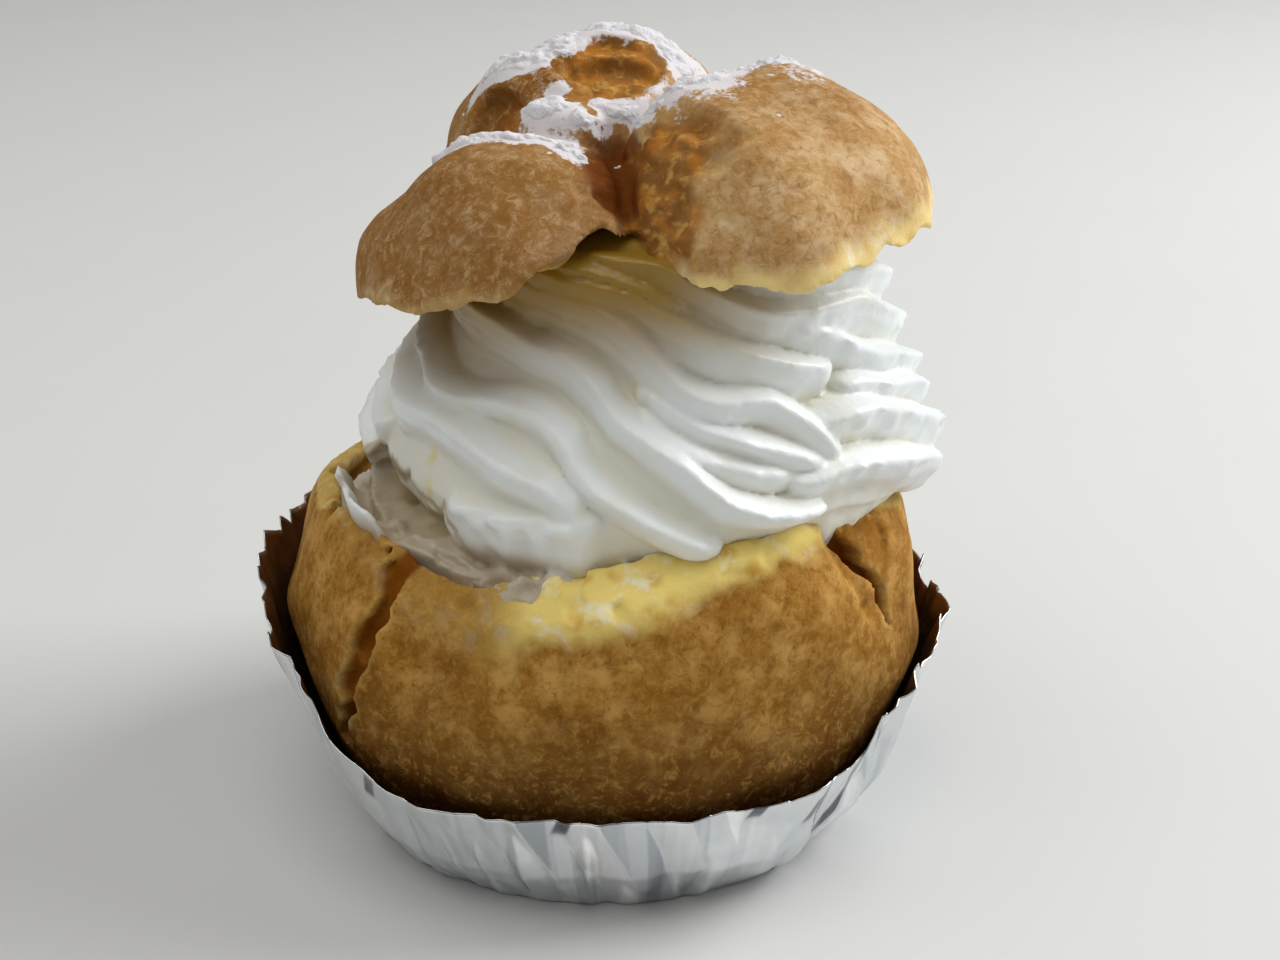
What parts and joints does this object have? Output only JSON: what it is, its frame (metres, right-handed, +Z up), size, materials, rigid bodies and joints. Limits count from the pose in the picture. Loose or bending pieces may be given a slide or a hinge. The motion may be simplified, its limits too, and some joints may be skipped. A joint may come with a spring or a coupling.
{
  "type": "cream puff",
  "caption": "Choux bun cut open and filled with a ribbed swirl of whipped cream, its broken lid resting tilted on the swirl, standing in a pleated foil case",
  "frame": {"origin": "on the table under the middle of the foil case, at the bottom centre of the object's box", "axes": "+Z up, along the object's longest side; -Y towards the open front with the low foil rim; +X to the viewer's right"},
  "size_m": [0.0885, 0.0812, 0.0943],
  "materials": {
    "foil": "satin, creased",
    "choux_crust": "matt baked crust",
    "cream": "soft satin",
    "lid_crust": "matt baked crust with powdered sugar"
  },
  "bodies": {
    "root": {"foil_case": "foil", "choux_base": "choux_crust", "whipped_cream": "cream", "choux_lid": "lid_crust"}
  },
  "joints": []
}
